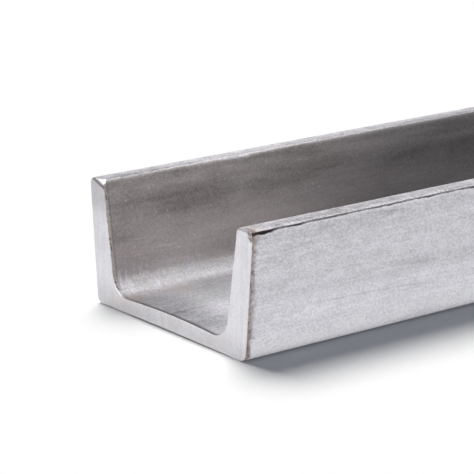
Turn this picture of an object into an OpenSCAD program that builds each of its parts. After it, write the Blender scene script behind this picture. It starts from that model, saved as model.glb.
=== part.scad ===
// Hot-rolled stainless channel bar with tapered flanges, cut square at both ends.
// It lies on the back of its web with the flanges up. X runs along the bar,
// Y across the web and Z up the flanges, in millimetres.
// The origin is at mid-length, on the centre line of the web's back.

/* [Section] */
// Depth of the section across the back of the web, heel to heel
web_depth = 80; // [50:1:140]
// Width of each flange, from the back of the web to the toe
flange_width = 43; // [30:1:70]
// Thickness of the web
web_thickness = 5; // [3:0.5:9]
// Thickness of each flange across the section, halfway between the web and the toe
flange_thickness = 9; // [6:0.5:12]
// Taper of the flange's inner face, in percent
flange_taper = 8; // [0:0.5:12]
// Outward lean of each flange, in degrees
flange_splay = 4.5; // [0:0.5:6]

/* [Rolled corners] */
// Radius of the outer corner between web and flange
heel_radius = 3; // [0.5:0.5:4]
// Radius of the toe's outer corner
toe_outer_radius = 2; // [0.5:0.25:2.5]
// Radius of the toe's inner corner
toe_inner_radius = 1.5; // [0.5:0.25:2.5]
// Radius of the fillet between the web and the flange's inner face
root_radius = 8; // [3:0.5:12]

/* [Bar] */
// Cut length
bar_length = 1000; // [100:50:6000]

/* [Hidden] */
$fn = 96;
steel_colour = [0.72, 0.72, 0.73];
// Each rounding circle is a hair larger than its radius, so that it laps the straight sides it meets
lap = 0.0005;

// Height at which the flange has its stated thickness
gauge_height = (web_thickness + flange_width) / 2;

// Half of the section's width at a height, to the flange's outer face
function outer_half(height) = web_depth / 2 + height * tan(flange_splay);

// Half of the section's clear width at a height, to the flange's inner face
function inner_half(height) =
    outer_half(height) - flange_thickness - (gauge_height - height) * flange_taper / 100;

// Corners of the right-hand half, anticlockwise from the heel, each as [x, y, radius]
half_corners = [
    [outer_half(0), 0, heel_radius],
    [outer_half(flange_width), flange_width, toe_outer_radius],
    [inner_half(flange_width), flange_width, toe_inner_radius],
    [inner_half(web_thickness), web_thickness, root_radius]
];
corner_count = 2 * len(half_corners);

// The whole outline: the right-hand half, then its mirror image in reverse order
function outline_corner(i) =
    i < len(half_corners)
        ? half_corners[i]
        : let (c = half_corners[corner_count - 1 - i]) [-c.x, c.y, c.z];
corners = [for (i = [0:corner_count - 1]) outline_corner(i)];

// A corner's place, and its neighbours round the outline
function place(i) = let (c = corners[(i + corner_count) % corner_count]) [c.x, c.y];
function heading(from, to) = (to - from) / norm(to - from);
function back_along(i) = heading(place(i), place(i - 1));
function on_along(i) = heading(place(i), place(i + 1));

// Half of the angle between the two sides that meet at a corner
function half_angle(i) = acos(back_along(i) * on_along(i)) / 2;
// A corner's arc starts and ends this far from the corner, along its sides
function setback(i) = corners[i].z / tan(half_angle(i));
function arc_start(i) = place(i) + setback(i) * back_along(i);
function arc_end(i) = place(i) + setback(i) * on_along(i);
// From a corner towards the centre of its arc, midway between the two sides
function inward(i) = heading([0, 0], back_along(i) + on_along(i));
function arc_centre(i) = place(i) + corners[i].z / sin(half_angle(i)) * inward(i);
// True where the outline turns left, so that the arc stands out of the section
function is_outer_corner(i) = cross(-back_along(i), on_along(i)) > 0;

module corner_arcs(outer) {
    for (i = [0:corner_count - 1])
        if (is_outer_corner(i) == outer)
            translate(arc_centre(i))
                // Turned to start on the far side from the corner, so that each arc is one face
                rotate(atan2(inward(i).y, inward(i).x))
                    circle(r = corners[i].z + lap);
}

// The rolled section: straight sides between the arcs' ends, then the arcs themselves
module section() {
    difference() {
        union() {
            polygon([for (i = [0:corner_count - 1]) each [arc_start(i), arc_end(i)]]);
            corner_arcs(outer = true);
        }
        corner_arcs(outer = false);
    }
}

module channel_section() {
    color(steel_colour)
        translate([-bar_length / 2, 0, 0])
            rotate([90, 0, 90])
                linear_extrude(height = bar_length) section();
}

channel_section();
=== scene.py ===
"""Dresses a length of hot-rolled stainless channel and sets it on a pale studio floor.

The rolled skin is the section's outline carried along the bar. The sawn ends are the
section itself, ruled between its outer and its inner faces. Both are numpy arrays.
"""

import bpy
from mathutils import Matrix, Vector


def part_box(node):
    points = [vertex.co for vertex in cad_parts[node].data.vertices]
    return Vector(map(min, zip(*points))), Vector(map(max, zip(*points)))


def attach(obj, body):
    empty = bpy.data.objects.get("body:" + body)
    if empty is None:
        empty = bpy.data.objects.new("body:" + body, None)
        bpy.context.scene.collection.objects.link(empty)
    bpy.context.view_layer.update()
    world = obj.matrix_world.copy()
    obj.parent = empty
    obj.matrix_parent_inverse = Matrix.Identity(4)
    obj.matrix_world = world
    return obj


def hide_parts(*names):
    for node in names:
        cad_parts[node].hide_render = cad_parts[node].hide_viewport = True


bl_info = {
    "name": "Stainless channel bar",
    "version": (1, 0, 0),
    "blender": (4, 5, 0),
    "location": "3D View > Sidebar > Channel",
    "description": "Builds a hot-rolled stainless channel bar with sawn ends on a studio floor",
    "category": "Add Mesh",
}

import math
from collections import namedtuple
from functools import partial, reduce
from types import SimpleNamespace

import bpy
import numpy as np
from bpy.props import FloatProperty, FloatVectorProperty, PointerProperty
from mathutils import Vector

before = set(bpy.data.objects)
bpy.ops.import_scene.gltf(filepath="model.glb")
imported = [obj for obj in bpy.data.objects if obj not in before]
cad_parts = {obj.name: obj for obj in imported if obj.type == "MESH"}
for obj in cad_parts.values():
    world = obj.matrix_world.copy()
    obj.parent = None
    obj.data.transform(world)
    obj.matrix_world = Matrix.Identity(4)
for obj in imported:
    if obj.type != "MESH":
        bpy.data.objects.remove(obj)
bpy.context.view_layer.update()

NODE = "channel_section"
BAR_LOW, BAR_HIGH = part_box(NODE)
MM = 0.001


def length_of(name, description, default, least=0.0):
    """Property for a length in metres."""
    return FloatProperty(
        name=name, description=description, default=default, min=least, unit="LENGTH", precision=5)


def angle_of(name, description, degrees):
    """Property for an angle, whose default is given in degrees."""
    return FloatProperty(
        name=name, description=description, default=math.radians(degrees), min=0.0, unit="ROTATION")


def level_of(name, description, default, unit="NONE"):
    """Property for the strength of a light."""
    return FloatProperty(name=name, description=description, default=default, min=0.0, unit=unit)


def colour_of(name, description, default):
    """Property for a colour."""
    return FloatVectorProperty(
        name=name, description=description, default=default, subtype="COLOR", min=0.0, max=1.0)


def point_of(name, description, default):
    """Property for a point in metres."""
    return FloatVectorProperty(
        name=name, description=description, default=default, subtype="TRANSLATION", unit="LENGTH")


class ChannelSizes(bpy.types.PropertyGroup):
    """Sizes of the rolled section and of its sawn edges."""

    length: length_of("Length", "Cut length of the bar", BAR_HIGH.x - BAR_LOW.x, 100 * MM)
    web_depth: length_of("Web depth", "Depth across the back of the web, heel to heel", 80 * MM, 50 * MM)
    flange_width: length_of("Flange width", "From the back of the web to the toe", 43 * MM, 30 * MM)
    web_thickness: length_of("Web thickness", "Thickness of the web", 5 * MM, 3 * MM)
    flange_thickness: length_of(
        "Flange thickness", "Across the section, halfway up the flange", 9 * MM, 6 * MM)
    flange_taper: FloatProperty(
        name="Flange taper", description="Taper of the flange's inner face",
        default=8.0, min=0.0, max=12.0, subtype="PERCENTAGE")
    flange_splay: angle_of("Flange splay", "Outward lean of each flange", 4.5)
    heel_radius: length_of("Heel radius", "Outer corner between web and flange", 3 * MM, 0.5 * MM)
    root_radius: length_of(
        "Root radius", "Fillet between the web and the flange's inner face", 8 * MM, 3 * MM)
    toe_outer_radius: length_of("Outer toe radius", "Outer corner of the toe", 2 * MM, 0.5 * MM)
    toe_inner_radius: length_of("Inner toe radius", "Inner corner of the toe", 1.5 * MM, 0.5 * MM)
    web_hollow: length_of("Web hollow", "How far the rolls dish the middle of the web's back", 0.28 * MM)
    web_crown: length_of("Web crown", "How far the rolls raise the middle of the web's inside", 0.75 * MM)
    edge_radius: length_of("Edge radius", "Rounding of the sawn edges", 0.3 * MM, 0.1 * MM)
    bevel: length_of(
        "Bevel", "How far the inner edge of the far flange's cut is filed back", 0.7 * MM, 0.05 * MM)
    burr_reach: length_of("Burr reach", "Width of the lip that the saw leaves along the cut", 1.7 * MM)
    burr_height: length_of("Burr height", "How far that lip stands above the rolled face", 0.07 * MM)
    mill_wave: length_of("Mill wave", "Depth of the long shallow waves left by the rolls", 0.05 * MM)
    toe_wander: length_of("Toe wander", "Unevenness of the rounded toes along the bar", 0.14 * MM)


class ChannelFinish(bpy.types.PropertyGroup):
    """Colours and grain of the pickled skin and of the sawn ends."""

    steel: colour_of("Steel", "Pickled rolled skin", (0.665, 0.657, 0.697))
    # root is lighter than the trough beside it, a painted highlight, the band of light along the roots
    root: colour_of("Root", "Skin of the root fillets", (0.54, 0.53, 0.555))
    web: colour_of("Web", "Skin of the web's inside", (0.535, 0.545, 0.565))
    web_dirt: colour_of("Web dirt", "Dirty skin of the web's inside near the cuts", (0.385, 0.38, 0.41))
    toe: colour_of("Toe", "Rubbed, dirty skin of the toes", (0.383, 0.371, 0.392))
    # trough darkens towards deep_trough away from the ends as painted shade; deep_trough also serves as a
    # dark grey for stains and for painted shade on the sawn ends
    trough: colour_of("Trough", "Duller skin on the flanges' inner faces", (0.432, 0.401, 0.395))
    deep_trough: colour_of("Deep trough", "The same, away from the ends", (0.182, 0.172, 0.176))
    sawn: colour_of("Sawn metal", "Bright metal of the cut ends", (0.755, 0.748, 0.785))
    stain: colour_of("Stain", "Brown oxide along the cuts", (0.35, 0.25, 0.178))
    soot: colour_of("Soot", "Dark residue in the stain and along the toes", (0.032, 0.025, 0.021))
    bloom: colour_of("Bloom", "Tint of the violet patches on the skin of the trough", (0.95, 0.93, 0.95))
    tan: colour_of("Tan", "Light stain on the inner edges of the cuts", (0.56, 0.49, 0.44))
    grain: length_of("Grain", "Size of the pickled grain", 0.5 * MM, 0.1 * MM)
    grain_depth: length_of("Grain depth", "Depth of the pickled grain", 0.04 * MM)


class ChannelStage(bpy.types.PropertyGroup):
    """Floor, light and camera."""

    floor: colour_of("Floor", "Colour of the floor", (0.93, 0.93, 0.935))
    ambient: level_of("Ambient", "Level of the even light from all round", 0.172)
    ambient_tint: colour_of(
        "Ambient tint", "Colour of the even light, which shows in the shadow", (0.757, 0.845, 1.0))
    overhead_level: level_of(
        "Overhead level", "Power of the wide softbox that the metal mirrors", 19.0, "POWER")
    key_level: level_of("Key level", "Strength of the key light that throws the shadow", 3.166)
    key_tint: colour_of(
        "Key tint", "Colour of the key light, which makes the lit floor white", (1.0, 0.983, 0.947))
    key_spread: angle_of("Key spread", "How wide the key light looks from the bar", 32)
    key_direction: FloatVectorProperty(
        name="Key direction", description="From the bar towards the key light",
        default=(0.12, 0.43, 0.895), subtype="DIRECTION")
    camera_glow: level_of("Camera glow", "Light that the floor adds where the camera sees it", 0.04)
    floor_gleam: FloatProperty(
        name="Floor gleam", description="How far the metal sees the floor as even white",
        default=0.5, min=0.0, max=1.0, subtype="FACTOR")
    camera_place: point_of("Camera place", "Where the camera stands", (-0.92533, -0.58269, 0.23697))
    camera_aim: point_of("Camera aim", "Point in the middle of the picture", (-0.51194, -0.05131, 0.04535))
    focal_length: FloatProperty(
        name="Focal length", description="Lens of the camera on a 36 mm sensor, in millimetres",
        default=178.5, min=1.0, unit="CAMERA")


# Steps along each stretch of the half outline: web, corner at the web, flange, corner at the toe
STEPS = (16, 10, 20, 7)
# Places of the rows across the thickness, close to the outline at both sides
RULE = np.array([0.0, 0.03, 0.2, 0.4, 0.6, 0.8, 0.97, 1.0])
# Points round the quarter circle of a sawn edge
EDGE_STEPS = 5
# Distances of the next stations from that edge, which widen to the even gap further on
WIDENING = np.array([0.25, 0.55, 0.85, 1.15, 1.5, 2.0, 2.7, 3.6, 4.8, 6.4, 8.5]) * MM
STATION_GAP = 4 * MM


def unit(vector):
    """Vector of length 1 in the same direction."""
    return vector / np.linalg.norm(vector)


def corner_arc(before, corner, after, radius, steps):
    """Arc that rounds a corner.

    Its centre lies on the corner's bisector, radius / sin(half angle) from the corner, and
    it runs between the points where the two sides touch the circle. Returns points and spokes.
    """
    back, on = unit(before - corner), unit(after - corner)
    half = math.acos(back @ on) / 2
    centre = corner + unit(back + on) * radius / math.sin(half)
    first, last = (corner + side * radius / math.tan(half) - centre for side in (back, on))
    start, stop = math.atan2(first[1], first[0]), math.atan2(last[1], last[0])
    sweep = (stop - start + math.pi) % (2 * math.pi) - math.pi
    angle = start + sweep * np.linspace(0, 1, steps + 1)
    spokes = np.column_stack([np.cos(angle), np.sin(angle)])
    return centre + radius * spokes, spokes


def half_path(start, bend, bend_radius, bend_side, toe, toe_radius, after):
    """Half of one side of the section, from the middle of the web to the flat of the toe.

    Two straight legs and two arcs: along the web, round the bend, up the flange and round
    the toe's corner. bend_side is 1 where the bend stands out of the metal and -1 where it
    is a fillet. Returns points and outward normals.
    """
    web, round_bend, flange, round_toe = STEPS
    bend_arc, bend_spokes = corner_arc(start, bend, toe, bend_radius, round_bend)
    toe_arc, toe_spokes = corner_arc(bend, toe, after, toe_radius, round_toe)
    bend_normals = bend_side * bend_spokes
    points = np.concatenate([
        np.linspace(start, bend_arc[0], web, endpoint=False),
        bend_arc,
        np.linspace(bend_arc[-1], toe_arc[0], flange + 1)[1:-1],
        toe_arc,
    ])
    normals = np.concatenate([
        np.repeat(bend_normals[:1], web, axis=0),
        bend_normals,
        np.repeat(bend_normals[-1:], flange - 1, axis=0),
        toe_spokes,
    ])
    return points, normals


def both_halves(half, mirror):
    """The half on the -Y side, reversed, and then the half on the +Y side."""
    return np.concatenate([half[:0:-1] * mirror, half])


def run_length(points):
    """Distance along a row of points from the first one."""
    return np.concatenate([[0], np.cumsum(np.linalg.norm(np.diff(points, axis=0), axis=1))])


def section_sides(sizes):
    """Outer and inner side of the section, each from the toe at -Y round to the toe at +Y.

    Returns for each side its points (y, z), its outward normals, and the distance along the
    outline from the middle of the web's back, the same on both halves.
    """
    depth, width, web = sizes.web_depth, sizes.flange_width, sizes.web_thickness
    gauge = (web + width) / 2
    lean = math.tan(sizes.flange_splay)

    def outer_half(height):
        return depth / 2 + height * lean

    def inner_half(height):
        thickness = sizes.flange_thickness + (gauge - height) * sizes.flange_taper / 100
        return outer_half(height) - thickness

    heel = np.array([depth / 2, 0.0])
    root = np.array([inner_half(web), web])
    toe_outer = np.array([outer_half(width), width])
    toe_inner = np.array([inner_half(width), width])
    outer, outer_normals = half_path(
        np.zeros(2), heel, sizes.heel_radius, 1, toe_outer, sizes.toe_outer_radius, toe_inner)
    inner, inner_normals = half_path(
        np.array([0.0, web]), root, sizes.root_radius, -1, toe_inner, sizes.toe_inner_radius, toe_outer)
    outer_run = run_length(outer)
    toe_run = outer_run[-1] + np.linalg.norm(outer[-1] - inner[-1])
    inner_run = run_length(inner)
    inner_run = toe_run + inner_run[-1] - inner_run

    # The rolls bow the web: its back is dished and its inside crowned, each as a parabola
    for points, rise in ((outer, sizes.web_hollow), (inner, sizes.web_crown)):
        flat = points[STEPS[0], 0]
        points[:, 1] += rise * np.clip(1 - (points[:, 0] / flat) ** 2, 0, 1)

    mirror = np.array([-1.0, 1.0])
    return [
        (both_halves(points, mirror), both_halves(normals, mirror), both_halves(run, 1))
        for points, normals, run in ((outer, outer_normals, outer_run), (inner, inner_normals, inner_run))
    ]


Marks = namedtuple("Marks", "heel outside toe_corner toe_flat toe_edge inside root web")


def outline_marks(sizes):
    """Distances round the half outline at which its stretches begin.

    Counted from the middle of the web's back: heel arc, outer face, outer toe arc, toe flat,
    inner toe arc, inner face, root arc and the web's inside.
    """
    (_, _, outer_run), (_, _, inner_run) = section_sides(sizes)
    turns = np.cumsum(STEPS)
    middle = len(outer_run) // 2
    return Marks(*outer_run[middle + turns], *inner_run[middle + turns[::-1]])


def section_loop(outer, inner):
    """Values round the closed outline: along the outer side, over one toe, back, over the other."""
    across = RULE[1:-1].reshape((-1,) + (1,) * (outer.ndim - 1))
    far_toe = (1 - across) * outer[-1] + across * inner[-1]
    near_toe = across * outer[0] + (1 - across) * inner[0]
    return np.concatenate([outer, far_toe, inner[::-1], near_toe])


def stations(sizes):
    """Places along the bar and how far the sawn edge draws the outline in at each.

    The edge is a quarter circle: at an angle a from the cut it lies r (1 - cos a) along the
    bar and r (1 - sin a) inwards. Then the gaps widen to the even spacing of the bar.
    """
    angle = np.linspace(0, math.pi / 2, EDGE_STEPS)
    edge = sizes.edge_radius * (1 - np.cos(angle))
    widening = sizes.edge_radius + WIDENING
    half = sizes.length / 2
    count = round((half - widening[-1]) / STATION_GAP) + 1
    even = np.linspace(widening[-1], half, count)[1:]
    from_cut = np.concatenate([edge, widening, even])
    drawn = np.zeros(len(from_cut))
    drawn[:EDGE_STEPS] = sizes.edge_radius * (1 - np.sin(angle))
    places = np.concatenate([from_cut - half, (half - from_cut[:-1])[::-1]])
    return places, np.concatenate([drawn, drawn[-2::-1]])


# Waves along the bar, each as its length in metres and its turns per metre round the section
MILL_WAVES = ((0.211, 4.0), (0.127, -7.0), (0.083, 11.0))
TOE_WAVES = ((0.0713, 9.0), (0.0417, -5.0), (0.0231, 3.0), (0.0139, 7.0))
# Waves round the section, each as its length in metres and its shift in turns, one way on each flange
EDGE_WAVES = ((0.0171, 0.3), (0.0093, 0.3), (0.0047, 0.3))
BURR_WAVES = ((0.0123, 0.2), (0.0061, 0.4))
# Radians by which each wave is ahead of the one before it
PHASE_STEP = 2.4
# Metres by which a toe's waves are shifted along the bar, one way on each flange
TOE_SHIFT = 0.37


def ripple(distance, aside, waves):
    """Mean of sines of 2 pi (distance / length + turns * aside), each a step of phase further on."""
    total = sum(
        np.sin(2 * math.pi * (distance / length + turns * aside) + PHASE_STEP * number)
        for number, (length, turns) in enumerate(waves)
    )
    return total / len(waves)


def smooth_step(value, low, high):
    """0 below low, 1 above high, and 3t^2 - 2t^3 between them."""
    t = np.clip((value - low) / (high - low), 0, 1)
    return t * t * (3 - 2 * t)


# Corners of the flat ground on the far toe at the near end: from the cut, across and up
GROUND_FLAT = np.array([(0.0, 40.4, 43.0), (1.5, 36.9, 42.9), (0.0, 35.8, 41.3)]) * MM


def ground_plane(sizes):
    """A corner of the ground flat, and its plane's upward normal."""
    first, second, third = GROUND_FLAT - np.array([sizes.length / 2, 0, 0])
    normal = unit(np.cross(second - first, third - first))
    return first, normal * np.sign(normal[2])


def ground_flat(points, sizes):
    """Moves the points that stand above the ground flat's plane square onto it, and says which."""
    first, normal = ground_plane(sizes)
    above = (points - first) @ normal
    touched = (above > 0) & (points[:, 1] > 0)
    points[touched] -= above[touched, None] * normal
    return touched


def bar_points(sizes):
    """Points of the rolled skin as a grid of stations by places round the outline.

    Each point is the outline's, drawn in along its normal by the sawn edge's rounding, by the
    mill's long waves, by the wander of the toes, by the bevel of one inner edge, and by the
    burr's height away from the cut.
    """
    outer, inner = section_sides(sizes)
    outline, normals, run = (section_loop(a, b) for a, b in zip(outer, inner))
    normals /= np.linalg.norm(normals, axis=1)[:, None]
    places, drawn = stations(sizes)
    marks = outline_marks(sizes)
    along, from_back = places[:, None], run[None, :]
    side = np.sign(outline[None, :, 0])
    from_cut = sizes.length / 2 - np.abs(along)

    # The toes wander at their corners, and little on the flat between them
    wave = ripple(along, from_back, MILL_WAVES)
    wander = ripple(along + TOE_SHIFT * side, from_back, TOE_WAVES)
    toe = smooth_step(from_back, marks.toe_corner, marks.toe_flat)
    toe = toe * (1 - smooth_step(from_back, marks.toe_edge, marks.inside))
    toe = toe * (1 - 0.8 * smooth_step(normals[None, :, 1], 0.9, 1.0))

    # The burr stands on the outer faces only
    reach = sizes.burr_reach * (1 + 0.25 * ripple(from_back, side, BURR_WAVES))
    on_flange = smooth_step(from_back, marks.heel, marks.outside)
    on_flange = on_flange * (1 - smooth_step(from_back, marks.toe_corner - 1.5 * MM, marks.toe_corner))
    behind_burr = on_flange * smooth_step(from_cut, reach, reach + 0.6 * MM)

    # The bevel runs down the far flange's inner face and ends in the root
    filed = smooth_step(from_back, marks.toe_edge - 2 * MM, marks.inside + 12 * MM) * (side > 0)
    filed = filed * (1 - smooth_step(from_back, marks.root, marks.web))
    bevel_reach = 1.6 * sizes.bevel
    bevel = sizes.bevel * filed * np.clip(1 - from_cut / bevel_reach, 0, 1) ** 1.3
    uneven = 1 + 0.45 * ripple(from_back, side, EDGE_WAVES)
    depth = (
        np.maximum(drawn[:, None], bevel) * uneven
        + sizes.mill_wave * (1 + wave) / 2
        + sizes.toe_wander * toe * (1 + wander) / 2
        + sizes.burr_height * behind_burr
    )
    flat = outline[None] - depth[..., None] * normals[None]
    return np.dstack([np.broadcast_to(along, flat.shape[:2]), flat]), run


def bar_faces(stations_count, loop_count):
    """Quads of the skin, station by station, and the corner numbers of the two end grids' rims."""
    number = np.arange(stations_count * loop_count).reshape(stations_count, loop_count)
    beside = np.roll(number, -1, axis=1)
    skin = np.stack([number[:-1], beside[:-1], beside[1:], number[1:]], axis=-1).reshape(-1, 4)
    return skin, number[0], number[-1]


def end_grid(rim, loop, first_free):
    """Grid of one sawn end, ruled from the outer to the inner side of its rim.

    rim holds the numbers of the skin's points round this end and loop their places. Returns
    the grid's numbers, the places of its new points, and their gaps to the outer and inner side.
    """
    rows = len(RULE)
    side = (len(rim) - 2 * (rows - 2)) // 2
    inner_first = side + rows - 2
    outer, inner = slice(0, side), slice(inner_first, inner_first + side)
    grid = np.empty((side, rows), int)
    grid[:, 0], grid[:, -1] = rim[outer], rim[inner][::-1]
    grid[-1, 1:-1] = rim[side:inner_first]
    grid[0, 1:-1] = rim[inner_first + side:][::-1]
    across = RULE[1:-1][None, :, None]
    ruled = (1 - across) * loop[outer][1:-1, None] + across * loop[inner][::-1][1:-1, None]
    grid[1:-1, 1:-1] = first_free + np.arange(ruled.shape[0] * ruled.shape[1]).reshape(ruled.shape[:2])
    thick = np.linalg.norm(loop[outer] - loop[inner][::-1], axis=1)[1:-1, None]
    gaps = np.dstack(np.broadcast_arrays(thick * RULE[1:-1], thick * (1 - RULE[1:-1])))
    return grid, ruled.reshape(-1, 3), gaps.reshape(-1, 2)


def grid_quads(grid):
    """Quads between neighbouring numbers of a grid."""
    return np.stack([grid[:-1, :-1], grid[1:, :-1], grid[1:, 1:], grid[:-1, 1:]], axis=-1).reshape(-1, 4)


# Gap that the rim's points are given to the side across from them, about the metal's thickness
RIM_GAP = 8 * MM
# Faces within this many edge radii of a cut are sawn, a little over 1 so that rounding loses none
SAWN_RADII = 1.05


def channel_mesh(sizes):
    """Closed mesh of the bar: the skin's grid and a ruled grid over each sawn end."""
    skin_points, run = bar_points(sizes)
    count, loop_count = skin_points.shape[:2]
    skin, near_rim, far_rim = bar_faces(count, loop_count)
    flat_points = skin_points.reshape(-1, 3)
    near, near_points, near_gaps = end_grid(near_rim, skin_points[0], len(flat_points))
    far, far_points, far_gaps = end_grid(far_rim, skin_points[-1], len(flat_points) + len(near_points))
    points = np.concatenate([flat_points, near_points, far_points])
    ends = np.concatenate([grid_quads(near)[:, ::-1], grid_quads(far)])
    faces = np.concatenate([skin, ends])
    ground = ground_flat(points, sizes)

    from_back = np.concatenate([np.tile(run, count), np.zeros(len(near_points) + len(far_points))])
    marks = outline_marks(sizes)
    on_inner = np.tile(run > (marks.toe_flat + marks.toe_edge) / 2, count)
    rim_gaps = np.where(on_inner[:, None], (RIM_GAP, 0.0), (0.0, RIM_GAP))
    gaps = np.concatenate([rim_gaps, near_gaps, far_gaps])
    edge = np.abs(points[:, 0]) > sizes.length / 2 - sizes.edge_radius * SAWN_RADII
    sawn = edge[faces].all(axis=1) | ground[faces].all(axis=1)

    mesh = bpy.data.meshes.new("rolled_channel")
    mesh.from_pydata(points, [], faces)
    mesh.polygons.foreach_set("material_index", sawn.astype(np.int32))
    mesh.polygons.foreach_set("use_smooth", np.ones(len(faces), bool))
    for name, values in (("from_back", from_back), ("outer_gap", gaps[:, 0]), ("inner_gap", gaps[:, 1])):
        mesh.attributes.new(name, "FLOAT", "POINT").data.foreach_set("value", values.astype(np.float32))
    mesh.update()
    return mesh


# Short ways to add nodes. Each works in the tree of the sockets it is given, and returns its output
def tree_of(*values):
    """The node tree of the first socket among some sockets and constants."""
    return next(value.id_data for value in values if isinstance(value, bpy.types.NodeSocket))


def set_socket(socket, value):
    """Links a socket to another one, or gives it a constant."""
    if isinstance(value, bpy.types.NodeSocket):
        socket.id_data.links.new(value, socket)
    else:
        socket.default_value = value


def fill(node, values):
    """Sets a node's sockets, each by its name or its number."""
    for name, value in values.items():
        set_socket(node.inputs[name], value)


def new_node(tree, kind, values=None, **settings):
    """Adds a node to a tree, makes its settings and fills its sockets."""
    node = tree.nodes.new(kind)
    for name, value in settings.items():
        setattr(node, name, value)
    fill(node, values or {})
    return node


def operate(operation, *values):
    node = new_node(tree_of(*values), "ShaderNodeMath", dict(enumerate(values)), operation=operation)
    return node.outputs[0]


def plus(*values):
    return reduce(partial(operate, "ADD"), values)


def times(*values):
    return reduce(partial(operate, "MULTIPLY"), values)


def most(*values):
    return reduce(partial(operate, "MAXIMUM"), values)


def less(first, second):
    return operate("SUBTRACT", first, second)


def rest(mask):
    return less(1.0, mask)


def gap(first, second):
    return operate("ABSOLUTE", less(first, second))


def remap(value, low, high, to_low=0.0, to_high=1.0):
    """Smooth step from one range to another."""
    values = {"Value": value, "From Min": low, "From Max": high, "To Min": to_low, "To Max": to_high}
    node = new_node(value.id_data, "ShaderNodeMapRange", values, interpolation_type="SMOOTHSTEP")
    return node.outputs["Result"]


def fade(value, low, high, strength=1.0):
    """The strength below low, and nothing above high."""
    return remap(value, low, high, strength, 0.0)


def band(value, middle, near, far, strength=1.0):
    """The strength nearer than near to the middle, and nothing further off than far."""
    return fade(gap(value, middle), near, far, strength)


def share(mask, at_none, at_full):
    """One value where a mask is 0, and another where it is 1."""
    return remap(mask, 0.0, 1.0, at_none, at_full)


def spread(pattern, to_low, to_high):
    """The stretch in which a noise mostly lies, 0.3 to 0.7, carried to another range."""
    return remap(pattern, 0.3, 0.7, to_low, to_high)


def mix(factor, first, second, blend="MIX"):
    """Colour between two sockets or constant colours."""
    node = new_node(tree_of(factor, first, second), "ShaderNodeMix", data_type="RGBA", blend_type=blend)
    set_socket(node.inputs["Factor"], factor)
    for socket, colour in zip((s for s in node.inputs if s.type == "RGBA"), (first, second)):
        set_socket(socket, colour if isinstance(colour, bpy.types.NodeSocket) else (*colour, 1.0))
    return next(s for s in node.outputs if s.type == "RGBA")


def stretch(place, scale, turn=(0.0, 0.0, 0.0)):
    values = {"Vector": place, "Scale": scale, "Rotation": turn}
    return new_node(place.id_data, "ShaderNodeMapping", values).outputs["Vector"]


def noise(place, scale, detail=2.0, roughness=0.5, distortion=0.0):
    values = {"Vector": place, "Scale": scale, "Detail": detail,
              "Roughness": roughness, "Distortion": distortion}
    return new_node(place.id_data, "ShaderNodeTexNoise", values).outputs["Fac"]


def vector_math(operation, first, second):
    node = new_node(first.id_data, "ShaderNodeVectorMath", {0: first, 1: second}, operation=operation)
    return next(s for s in node.outputs if s.enabled)


def attribute(tree, name):
    return new_node(tree, "ShaderNodeAttribute", attribute_name=name).outputs["Fac"]


def split(place):
    return new_node(place.id_data, "ShaderNodeSeparateXYZ", {"Vector": place}).outputs


def use_group(group, **values):
    """Puts a node group into the tree of its values."""
    return new_node(tree_of(*values.values()), "ShaderNodeGroup", values, node_tree=group).outputs


def new_group(name, inputs, outputs):
    """Empty node group that takes a vector and the named numbers, with their defaults, and gives numbers."""
    tree = bpy.data.node_groups.new(name, "ShaderNodeTree")
    tree.interface.new_socket("Vector", in_out="INPUT", socket_type="NodeSocketVector")
    for label, default in inputs.items():
        socket = tree.interface.new_socket(label, in_out="INPUT", socket_type="NodeSocketFloat")
        socket.default_value = default
    for label in outputs:
        tree.interface.new_socket(label, in_out="OUTPUT", socket_type="NodeSocketFloat")
    return tree, new_node(tree, "NodeGroupInput").outputs, new_node(tree, "NodeGroupOutput")


def fine_grain_group():
    """Pickled grain: a noise of several sizes, a coarser one, and small round pits from Voronoi cells."""
    tree, given, result = new_group("Fine grain", {"Fineness": 1250.0}, ("Height", "Speckle", "Pits"))
    place, fineness = given["Vector"], given["Fineness"]
    fine = noise(place, times(fineness, 0.75), 2.0, 0.8)
    coarse = noise(place, times(fineness, 0.3), 1.0, 0.5)
    values = {"Vector": place, "Scale": times(fineness, 0.5)}
    cells = new_node(tree, "ShaderNodeTexVoronoi", values).outputs["Distance"]
    grain = plus(times(fine, 0.88), times(coarse, 0.12))
    pits = times(fade(cells, 0.14, 0.34), remap(coarse, 0.42, 0.58))
    height = less(grain, times(pits, 0.4))
    fill(result, {"Height": height, "Speckle": remap(grain, 0.38, 0.62), "Pits": pits})
    return tree


def drawn_lines_group():
    """Lines drawn along one direction: noise stretched along it, sharpened to thin scratches."""
    tree, given, result = new_group("Drawn lines", {"Fineness": 600.0}, ("Lines", "Scratches"))
    place, fineness = given["Vector"], given["Fineness"]
    fine = noise(place, fineness, 3.0, 0.6, 0.2)
    wide = noise(place, times(fineness, 0.23), 2.0, 0.5, 0.3)
    scratches = times(remap(fine, 0.6, 0.7), remap(wide, 0.45, 0.6))
    fill(result, {"Lines": plus(times(fine, 0.5), times(wide, 0.5)), "Scratches": scratches})
    return tree


def edge_stain_group():
    """Stain along an edge, with dark clots of soot in it.

    It is full at the edge and gone at the reach, which a noise makes uneven.
    """
    tree, given, result = new_group("Edge stain", {"Distance": 0.0, "Reach": 1.5 * MM}, ("Stain", "Soot"))
    uneven = noise(given["Vector"], 300.0, 3.0, 0.6)
    clots = noise(given["Vector"], 700.0, 2.0, 0.6)
    reach = times(given["Reach"], spread(uneven, 0.6, 1.3))
    stain = fade(operate("DIVIDE", given["Distance"], reach), 0.35, 1.2)
    soot = times(stain, remap(clots, 0.52, 0.68))
    fill(result, {"Stain": times(stain, remap(clots, 0.25, 0.5, 0.55, 1.0)), "Soot": soot})
    return tree


def new_material(name, colour):
    """Material with a Principled shader, and that shader."""
    material = bpy.data.materials.new(name)
    material.use_nodes = True
    material.diffuse_color = (*colour, 1.0)
    return material, next(n for n in material.node_tree.nodes if n.type == "BSDF_PRINCIPLED")


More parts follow.
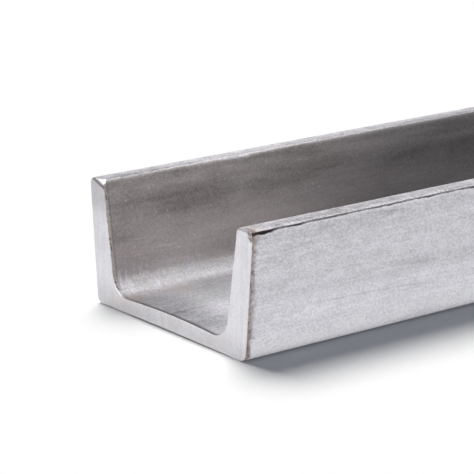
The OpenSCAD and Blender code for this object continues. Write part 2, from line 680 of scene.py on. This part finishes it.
def bump(height, depth):
    """Normal of a height, one unit of which is depth metres."""
    return new_node(
        height.id_data, "ShaderNodeBump", {"Distance": depth, "Height": height}).outputs["Normal"]


def cut_distance(along, sizes):
    """Distance from the nearer cut, in metres."""
    return less(sizes.length / 2, operate("ABSOLUTE", along))


def skin_places(tree, sizes):
    """Where a point of the skin lies: its coordinates, and two distances.

    One is from the nearer cut, in metres and in millimetres. The other is round the outline
    from the middle of the web's back, in millimetres.
    """
    place = new_node(tree, "ShaderNodeTexCoord").outputs["Object"]
    axes = split(place)
    cut_gap = cut_distance(axes["X"], sizes)
    return SimpleNamespace(
        place=place,
        across=axes["Y"],
        cut_gap=cut_gap,
        cut=times(cut_gap, 1 / MM),
        round=times(attribute(tree, "from_back"), 1 / MM),
    )


def skin_patterns(place, finish, groups):
    """Noises and lines that mottle the skin, most of them drawn out along the bar."""

    def drawn(along, turn=0.0):
        return stretch(place, (along, 1, 1), (0, turn, turn))

    return SimpleNamespace(
        grain=use_group(groups["grain"], Vector=drawn(0.75), Fineness=1 / finish.grain),
        rolled=use_group(groups["lines"], Vector=drawn(0.04), Fineness=620.0),
        rubbed=use_group(groups["lines"], Vector=drawn(0.045, 0.11), Fineness=900.0),
        clouds=noise(drawn(0.4), 62.0, 4.0, 0.6, 0.4),
        blots=noise(drawn(0.55), 280.0, 3.0, 0.6),
        streaks=noise(drawn(0.16), 120.0, 3.0, 0.55, 0.5),
        fingers=noise(stretch(place, (1, 0.26, 0.26)), 800.0, 2.0, 0.7, 0.4),
        bends=noise(drawn(0.05, 0.07), 60.0, 1.0, 0.5, 0.3),
        specks=noise(place, 700.0, 0.0),
    )


def skin_zones(at, pattern, marks):
    """Masks of the stretches round the section, some of them with ragged borders."""
    ragged = plus(at.round, spread(pattern.blots, -0.3, 0.3))
    fingered = plus(at.round, remap(pattern.fingers, 0.36, 0.64, -4.0, 4.0))
    near_flange = fade(at.across, -1 * MM, 1 * MM)
    far_flange = rest(near_flange)
    # On the far flange the toe's skin hangs a millimetre lower along one stretch
    flap = times(remap(at.cut, 42.0, 61.0), fade(at.cut, 61.3, 62.0), far_flange)
    inside = remap(less(ragged, flap), marks.toe_edge, marks.toe_edge + 1.4)
    root = remap(fingered, marks.root - 1, marks.root + 5)
    web = remap(at.round, marks.web - 6, marks.web + 9)
    below_toe = fade(at.round, marks.toe_corner, marks.toe_corner + 1.7)
    return SimpleNamespace(
        outside=times(remap(at.round, marks.heel, marks.outside), below_toe),
        toe=times(remap(ragged, marks.toe_corner + 1.2, marks.toe_flat - 0.8), rest(inside)),
        rim=times(remap(ragged, marks.toe_edge - 2.2, marks.toe_edge - 0.3), rest(inside)),
        inside=inside,
        inner_flange=times(inside, rest(root)),
        fillet=times(root, rest(web)),
        web=web,
        smudged=most(web, times(root, near_flange)),
        near_flange=near_flange,
        far_flange=far_flange,
        # deep: distance from the cuts, along which the trough is given painted shade
        deep=remap(at.cut, 12.0, 160.0),
    )


def skin_colour(zone, at, finish):
    """Plain colour of each stretch. The trough, and less so the web and the roots, grow darker away from the
    cut: painted shade, where less light reaches deep inside.
    """
    # Painted shade: the trough darkens away from the cuts, and the web and roots at 0.7 of that
    trough = mix(zone.deep, finish.trough, finish.deep_trough)
    # The roots' lighter colour is a painted highlight
    bottom = mix(zone.web, finish.root, finish.web)
    bottom = mix(times(zone.deep, 0.7), bottom, trough)
    web_dirt = remap(at.cut, 3.0, 24.0, 0.75, 0.05)
    colour = mix(zone.inside, finish.steel, bottom)
    colour = mix(times(zone.web, web_dirt), colour, finish.web_dirt)
    colour = mix(zone.inner_flange, colour, trough)
    return mix(zone.toe, colour, finish.toe)


def outer_mottling(pattern, at, marks):
    """Share of the outer faces: a little darker, with dark hairlines, and darkest just below the toe, a
    painted shade.
    """
    hairs = band(pattern.bends, 0.5, 0.002, 0.009)
    return plus(
        times(hairs, remap(pattern.streaks, 0.5, 0.62, 0.0, -0.16)),
        # Painted shade: darker towards the toe
        remap(at.round, marks.toe_corner - 5, marks.toe_corner, 0.0, -0.16),
        -0.03,
    )


def toe_mottling(pattern, zone, at):
    """Share of the toes: blots and speckle, and lighter on the far toe, most of all some way in."""
    far = less(remap(at.cut, 8.0, 50.0, 0.12, 0.4), remap(at.cut, 75.0, 115.0, 0.0, 0.14))
    return plus(
        remap(pattern.blots, 0.35, 0.65, -0.16, 0.16),
        share(pattern.grain["Speckle"], -0.12, 0.14),
        times(zone.far_flange, far),
    )


def inner_mottling(pattern, at, marks):
    """Share of the flanges' inner faces: lighter low down, a painted light towards the root's band of light,
    lighter under the toe, a dark blotch, and specks.
    """
    top = marks.inside
    # Painted light: lighter low down, towards the band of light along the root
    low_down = remap(at.round, top + 8, top + 23, -0.08, 0.38)
    under_toe = times(remap(at.round, top, top + 3), fade(at.round, top + 3, top + 9, 0.2))
    blotch = times(
        remap(at.cut, 16.0, 32.0),
        fade(at.cut, 44.0, 60.0),
        remap(at.round, top + 1, top + 6, 0.4, 1.0),
        fade(at.round, top + 9, top + 24, -0.28))
    return plus(
        times(remap(at.cut, 4.0, 32.0, 0.35, 1.0), low_down),
        times(remap(at.cut, 8.0, 30.0, 0.2, 1.0), under_toe),
        blotch,
        remap(pattern.specks, 0.81, 0.84, 0.0, 0.4),
    )


def web_mottling(pattern, at):
    """Share of the web's inside: dark scratches, and lighter past the dirt along the cut, a painted
    reflection of light.
    """
    return plus(
        times(pattern.rolled["Scratches"], -0.55),
        times(pattern.rubbed["Scratches"], -0.7),
        # Painted reflection of light: lighter from 5 mm past the cut, less so beyond 20 mm
        remap(at.cut, 5.0, 20.0, -0.06, 0.26),
        remap(at.cut, 20.0, 30.0, 0.0, -0.14),
    )


def skin_mottling(pattern, zone, at, marks):
    """Factor on the skin's colour: one plus the share of each pattern, stronger or weaker in its zones."""
    # low is the lower part of the outer faces, where the grain is stronger and painted light makes them
    # lighter
    low = times(zone.outside, fade(at.round, marks.outside, marks.outside + 20))
    fine = plus(share(zone.inside, 0.9, 0.85), times(low, 0.4), times(zone.web, 0.75))
    lines = plus(1.0, times(zone.web, 0.6), times(zone.outside, 0.35))
    upper = remap(at.round, marks.inside + 7, marks.root - 3, 1.0, 0.3)
    return plus(
        1.0,
        times(share(zone.inside, 0.45, 0.85), spread(pattern.clouds, -0.1, 0.1)),
        spread(pattern.blots, -0.04, 0.04),
        times(lines, remap(pattern.rolled["Lines"], 0.35, 0.65, -0.06, 0.06)),
        times(fine, share(pattern.grain["Speckle"], -0.12, 0.11)),
        times(fine, pattern.grain["Pits"], -0.14),
        times(pattern.rubbed["Scratches"], share(zone.inside, -0.14, 0.2)),
        # Painted light: the lower part of the outer faces is lighter, as if it mirrored the bright floor
        times(low, 0.45),
        times(zone.inside, upper, remap(pattern.streaks, 0.42, 0.66, 0.05, -0.2)),
        times(zone.fillet, remap(pattern.fingers, 0.35, 0.65, -0.09, 0.09)),
        # Along the toes' inner edges: lighter on the near toe, a painted highlight, and darker on the far toe
        times(zone.rim, share(zone.near_flange, -0.27, 0.22)),
        times(zone.outside, outer_mottling(pattern, at, marks)),
        times(zone.toe, toe_mottling(pattern, zone, at)),
        times(zone.inner_flange, inner_mottling(pattern, at, marks)),
        times(zone.web, web_mottling(pattern, at)),
    )


def cut_stains(zone, at, marks, sizes, groups):
    """Masks of the stain and of the soot along the cut.

    The soot lies as clots outside, as dashes and a thin border inside, and as a lip on the web
    and at the near root.
    """
    reach = plus(
        remap(at.round, marks.inside, marks.inside + 16, 0.7 * MM, 1.4 * MM),
        times(zone.outside, sizes.burr_reach + 0.35 * MM),
        times(zone.web, 0.8 * MM))
    strength = plus(
        share(zone.outside, 0.75, 0.62),
        fade(at.round, marks.outside, marks.outside + 12, 0.22))
    strip = use_group(groups["stain"], Vector=at.place, Distance=at.cut_gap, Reach=reach)
    dash_gap = gap(at.cut_gap, 0.5 * MM)
    dashes = use_group(groups["stain"], Vector=at.place, Distance=dash_gap, Reach=0.4 * MM)
    soot = most(
        times(strip["Soot"], zone.outside, 0.45),
        times(dashes["Soot"], zone.inside, 0.65),
        times(zone.inside, band(at.cut_gap, 1.5 * MM, 0.15 * MM, 0.5 * MM, 0.22)),
        times(zone.smudged, fade(at.cut_gap, 0.4 * MM, 2.5 * MM, 0.75)))
    return times(strip["Stain"], strength), soot


def toe_marks(pattern, zone, at, marks):
    """Masks of the dirt on the toes, most of it on the near one.

    line is dark and follows the toe's outer corner, thick at the cut and thin and broken further
    on. At the cut lie a brown smear on that corner, and a tan patch and a grey smudge on the flat.
    """
    near_cut = fade(at.cut, 3.0, 15.0)
    wavy = plus(at.round, spread(pattern.blots, -0.2, 0.2))
    middle = less(marks.toe_corner + 1.6, times(near_cut, 0.4))
    width = plus(0.4, times(near_cut, 0.28))
    line = fade(operate("DIVIDE", gap(wavy, middle), width), 0.6, 1.2)
    strength = plus(spread(pattern.blots, 0.6, 0.95), times(near_cut, 0.3))
    smear = times(
        fade(at.cut, 1.2, 3.6),
        band(at.round, marks.toe_corner + 0.8, 1.4, 3.4),
        remap(pattern.blots, 0.38, 0.58, 0.2, 0.95))
    smudge = times(
        fade(at.cut, 1.4, 2.8, 0.9),
        band(at.round, marks.toe_flat + 0.7, 1.2, 2.4),
        remap(pattern.grain["Speckle"], 0.2, 0.8, 1.0, 0.5))
    mostly_near = share(zone.near_flange, 0.2, 1.0)
    return SimpleNamespace(
        line=times(line, strength, mostly_near),
        smear=times(smear, mostly_near),
        tan=times(zone.toe, zone.near_flange, fade(at.cut, 3.0, 7.0, 0.4)),
        smudge=times(smudge, zone.near_flange),
    )


def root_rust(pattern, zone, at, marks):
    """Mask of two warm patches along the far root, one at the cut and one further in."""
    patches = most(fade(at.cut, 1.0, 16.0, 0.5), band(at.cut, 21.0, 1.5, 6.0, 0.5))
    blots = remap(pattern.blots, 0.35, 0.6, 0.3, 1.0)
    return times(patches, blots, band(at.round, marks.web + 1, 1.5, 6.0), zone.far_flange)


def skin_material(sizes, finish, groups):
    """Pickled rolled skin: mottled silver-grey, darker in the trough and more so away from the cuts by
    painted shade, stained along the cuts and the toes.
    """
    material, shader = new_material("pickled_skin", finish.steel)
    marks = Marks(*(mark / MM for mark in outline_marks(sizes)))
    at = skin_places(material.node_tree, sizes)
    pattern = skin_patterns(at.place, finish, groups)
    zone = skin_zones(at, pattern, marks)
    toe = toe_marks(pattern, zone, at, marks)
    stain, soot = cut_stains(zone, at, marks, sizes, groups)
    stain = most(stain, toe.smear)
    soot = most(soot, toe.line)

    colour = skin_colour(zone, at, finish)
    colour = mix(1.0, colour, skin_mottling(pattern, zone, at, marks), "MULTIPLY")
    colour = mix(toe.tan, colour, finish.tan)
    bloom = times(zone.inside, remap(plus(pattern.clouds, times(pattern.blots, 0.5)), 0.74, 0.9))
    colour = mix(bloom, colour, mix(1.0, colour, finish.bloom, "MULTIPLY"))

    # The stain is brown outside and tan inside, and turns grey on the web and at the near root
    inside_stain = mix(zone.smudged, finish.tan, finish.deep_trough)
    colour = mix(stain, colour, mix(zone.inside, finish.stain, inside_stain))
    colour = mix(toe.smudge, colour, finish.deep_trough)
    rust = mix(remap(at.cut, 2.0, 10.0), finish.stain, finish.tan)
    colour = mix(root_rust(pattern, zone, at, marks), colour, rust)

    clouded = spread(pattern.clouds, 0.40, 0.48)
    height = plus(pattern.grain["Height"], times(pattern.rolled["Lines"], 0.5))
    fill(shader, {
        "Base Color": mix(soot, colour, finish.soot),
        "Metallic": rest(times(stain, 0.75)),
        "Roughness": plus(clouded, times(zone.inside, 0.06), times(most(stain, soot), 0.2)),
        "Normal": bump(height, finish.grain_depth),
    })
    return material


def end_dirt_and_shade(place, axes, clouds, sizes):
    """Masks of the dirt and the painted shade at the toes of a sawn end.

    corner lies round the near flange's outer toe corner, drawn out downwards, and top along its upper edge;
    both are dirt. under is painted shade, in the band below the flat that is ground on the far flange's toe.
    """
    toe_half = sizes.web_depth / 2 + sizes.flange_width * math.tan(sizes.flange_splay)
    near_flange = fade(axes["Y"], -10 * MM, 10 * MM)
    ragged = spread(clouds, -0.5 * MM, 0.5 * MM)
    squat = 0.65
    corner_gap = vector_math(
        "DISTANCE", stretch(place, (0, 1, squat)), (0, -toe_half, squat * sizes.flange_width))
    corner = fade(plus(corner_gap, ragged), 1.9 * MM, 2.5 * MM)
    top_gap = less(sizes.flange_width, axes["Z"])
    top = times(near_flange, fade(plus(top_gap, ragged), 0.5 * MM, 1.1 * MM))
    first, normal = ground_plane(sizes)
    below = less(float(first @ normal), vector_math("DOT_PRODUCT", place, normal))
    under = times(remap(below, 0.05 * MM, 0.2 * MM), fade(below, 0.7 * MM, 1.2 * MM))
    near_end = fade(axes["X"], -0.1, 0.1)
    return corner, top, times(under, near_end, rest(near_flange))


def sawn_material(sizes, finish, groups):
    """Sawn metal: pale, with fine straight saw lines, a dark outer edge and a stained inner one."""
    material, shader = new_material("sawn_metal", finish.sawn)
    tree = material.node_tree
    place = new_node(tree, "ShaderNodeTexCoord").outputs["Object"]
    axes = split(place)
    outer_gap, inner_gap = attribute(tree, "outer_gap"), attribute(tree, "inner_gap")
    saw_place = stretch(place, (1, 1, 0.06), (0.12, 0, 0))
    saw = use_group(groups["lines"], Vector=saw_place, Fineness=520.0)
    grain = use_group(groups["grain"], Vector=place, Fineness=0.8 / finish.grain)
    inner = use_group(groups["stain"], Vector=place, Distance=inner_gap, Reach=0.35 * MM)
    outer = use_group(groups["stain"], Vector=place, Distance=outer_gap, Reach=0.3 * MM)
    clouds = noise(place, 110.0, 3.0, 0.6)
    cut_gap = cut_distance(axes["X"], sizes)
    far_flange = remap(axes["Y"], 0.0, 38 * MM)
    toe_height = remap(axes["Z"], 25 * MM, 40 * MM)
    brightness = plus(
        1.0,
        fade(outer_gap, 0.0, 2 * MM, 0.07),
        remap(saw["Lines"], 0.35, 0.65, -0.06, 0.05),
        spread(clouds, -0.05, 0.04),
        share(grain["Speckle"], -0.05, 0.03),
        # Painted shade: darker low down on the web's end, near the floor
        fade(axes["Z"], 1 * MM, 9 * MM, -0.14),
        times(far_flange, share(toe_height, -0.02, -0.25)),
        # The ground flat is lighter: partly brighter ground metal, partly a painted glint
        remap(cut_gap, sizes.edge_radius, 2 * sizes.edge_radius, 0.0, 0.4),
    )
    corner, top, under = end_dirt_and_shade(place, axes, clouds, sizes)
    outer_edge = times(outer["Stain"], remap(axes["Y"], -10 * MM, 10 * MM, 0.03, 0.35))
    low_stain = times(fade(axes["Z"], 3 * MM, 12 * MM), remap(clouds, 0.4, 0.6, 0.0, 0.18))
    dull = 0.15 * np.array(finish.stain) + 0.85 * np.array(finish.deep_trough)
    colour = mix(1.0, finish.sawn, brightness, "MULTIPLY")
    for mask, dirt_and_shade_colour in (
        (times(inner["Soot"], 0.5), finish.tan),
        (outer_edge, finish.stain),
        (low_stain, finish.stain),
        (times(top, 0.6), dull),
        (times(corner, remap(grain["Speckle"], 0.2, 0.8, 0.5, 0.95)), dull),
        # Painted shade: the dark band below the ground flat
        (times(under, 0.85), finish.deep_trough),
    ):
        colour = mix(mask, colour, dirt_and_shade_colour)
    fill(shader, {
        "Base Color": colour,
        "Metallic": 1.0,
        "Roughness": spread(saw["Lines"], 0.38, 0.48),
        "Normal": bump(plus(saw["Lines"], times(grain["Height"], 0.6)), 0.6 * finish.grain_depth),
    })
    return material


class CHANNEL_OT_rolled_bar(bpy.types.Operator):
    """Build the rolled bar with its sawn ends, in place of the plain solid"""

    bl_idname = "channel.rolled_bar"
    bl_label = "Rolled bar"

    def execute(self, context):
        sizes, finish = context.scene.channel_sizes, context.scene.channel_finish
        groups = {"grain": fine_grain_group(), "lines": drawn_lines_group(), "stain": edge_stain_group()}
        bar = bpy.data.objects.new("rolled_channel", channel_mesh(sizes))
        context.scene.collection.objects.link(bar)
        bar.data.materials.append(skin_material(sizes, finish, groups))
        bar.data.materials.append(sawn_material(sizes, finish, groups))
        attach(bar, "root")
        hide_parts(NODE)
        return {"FINISHED"}


# Half the width of the floor, in metres
FLOOR_REACH = 6.0
# The softbox above the bar: where it hangs, the point that it faces, and the length of its sides
OVERHEAD_PLACE = (-0.3, 0.3, 1.7)
OVERHEAD_AIM = (-0.4, 0.0, 0.0)
OVERHEAD_SIZE = 2.2


def mirrored_ray(path):
    """1 on rays that the metal sends straight back from the camera, 0 on those that light the floor."""
    unscattered = operate("LESS_THAN", path["Diffuse Depth"], 0.5)
    return times(path["Is Glossy Ray"], unscattered)


def studio_floor(stage):
    """Flat pale floor, one large square. The metal sees it partly as even white."""
    mesh = bpy.data.meshes.new("studio_floor")
    corners = np.array([(-1, -1, 0), (1, -1, 0), (1, 1, 0), (-1, 1, 0)]) * FLOOR_REACH
    mesh.from_pydata(corners, [], [(0, 1, 2, 3)])
    floor = bpy.data.objects.new("studio_floor", mesh)
    material, shader = new_material("studio_floor", stage.floor)
    tree = material.node_tree
    path = new_node(tree, "ShaderNodeLightPath").outputs
    fill(shader, {
        "Base Color": (*stage.floor, 1.0),
        "Roughness": 0.9,
        "Specular IOR Level": 0.0,
        "Emission Color": (1, 1, 1, 1),
        "Emission Strength": times(path["Is Camera Ray"], stage.camera_glow),
    })
    surface = next(n for n in tree.nodes if n.type == "OUTPUT_MATERIAL").inputs["Surface"]
    white = new_node(tree, "ShaderNodeEmission").outputs["Emission"]
    whiteness = times(mirrored_ray(path), stage.floor_gleam)
    values = {"Fac": whiteness, 1: surface.links[0].from_socket, 2: white}
    set_socket(surface, new_node(tree, "ShaderNodeMixShader", values).outputs["Shader"])
    mesh.materials.append(material)
    return floor


def studio_world(stage):
    """White all round where it is seen, and an even tinted light of the ambient level elsewhere."""
    world = bpy.data.worlds.new("studio")
    world.use_nodes = True
    tree = world.node_tree
    background = next(n for n in tree.nodes if n.type == "BACKGROUND")
    path = new_node(tree, "ShaderNodeLightPath").outputs
    seen = most(path["Is Camera Ray"], mirrored_ray(path), path["Is Transmission Ray"])
    colour = mix(seen, stage.ambient_tint, (1, 1, 1))
    fill(background, {"Color": colour, "Strength": share(seen, stage.ambient, 1.0)})
    return world


def turn_towards(place, aim):
    """Turn of a lamp or camera that stands at a place and faces a point."""
    return (Vector(aim) - Vector(place)).to_track_quat("-Z", "Y").to_euler()


def overhead_softbox(stage):
    """Wide square lamp that the metal mirrors and that doesn't light the floor."""
    lamp = bpy.data.lights.new("overhead_softbox", "AREA")
    lamp.size = OVERHEAD_SIZE
    lamp.energy = stage.overhead_level
    holder = bpy.data.objects.new("overhead_softbox", lamp)
    holder.location = OVERHEAD_PLACE
    holder.rotation_euler = turn_towards(OVERHEAD_PLACE, OVERHEAD_AIM)
    holder.visible_diffuse = False
    return holder


def key_light(stage):
    """Distant lamp as wide as a window, which lights the floor evenly and isn't mirrored in the metal."""
    lamp = bpy.data.lights.new("key_light", "SUN")
    lamp.energy = stage.key_level
    lamp.angle = stage.key_spread
    lamp.color = stage.key_tint
    holder = bpy.data.objects.new("key_light", lamp)
    holder.rotation_euler = Vector(stage.key_direction).to_track_quat("Z", "Y").to_euler()
    holder.visible_glossy = False
    return holder


def studio_camera(stage):
    """Camera that looks from its place towards its aim."""
    data = bpy.data.cameras.new("camera")
    data.lens = stage.focal_length
    camera = bpy.data.objects.new("camera", data)
    camera.location = stage.camera_place
    camera.rotation_euler = turn_towards(stage.camera_place, stage.camera_aim)
    return camera


class CHANNEL_OT_studio(bpy.types.Operator):
    """Set up the floor, the light and the camera"""

    bl_idname = "channel.studio"
    bl_label = "Studio"

    def execute(self, context):
        scene, stage = context.scene, context.scene.channel_stage
        floor, camera = studio_floor(stage), studio_camera(stage)
        for thing in (floor, overhead_softbox(stage), key_light(stage), camera):
            scene.collection.objects.link(thing)
        scene.world = studio_world(stage)
        scene.camera = camera
        scene.view_settings.view_transform = "Standard"
        return {"FINISHED"}


class CHANNEL_PT_sidebar(bpy.types.Panel):
    """Lists the bar's sizes and finish, the stage, and the buttons that build them"""

    bl_idname = "CHANNEL_PT_sidebar"
    bl_label = "Channel bar"
    bl_space_type = "VIEW_3D"
    bl_region_type = "UI"
    bl_category = "Channel"

    def draw(self, context):
        scene = context.scene
        for group, operator in ((scene.channel_sizes, None),
                                (scene.channel_finish, CHANNEL_OT_rolled_bar),
                                (scene.channel_stage, CHANNEL_OT_studio)):
            column = self.layout.column()
            for name in group.__annotations__:
                column.prop(group, name)
            if operator:
                column.operator(operator.bl_idname)


GROUPS = {"channel_sizes": ChannelSizes, "channel_finish": ChannelFinish, "channel_stage": ChannelStage}
CLASSES = (*GROUPS.values(), CHANNEL_OT_rolled_bar, CHANNEL_OT_studio, CHANNEL_PT_sidebar)


def register():
    """Makes the classes known and hangs the property groups on the scene."""
    for cls in CLASSES:
        bpy.utils.register_class(cls)
    for name, group in GROUPS.items():
        setattr(bpy.types.Scene, name, PointerProperty(type=group))


def unregister():
    """Takes the property groups and the classes away again."""
    for name in GROUPS:
        delattr(bpy.types.Scene, name)
    for cls in reversed(CLASSES):
        bpy.utils.unregister_class(cls)


def main():
    """Builds the stage and the bar."""
    register()
    bpy.ops.channel.studio()
    bpy.ops.channel.rolled_bar()


if __name__ == "__main__":
    main()
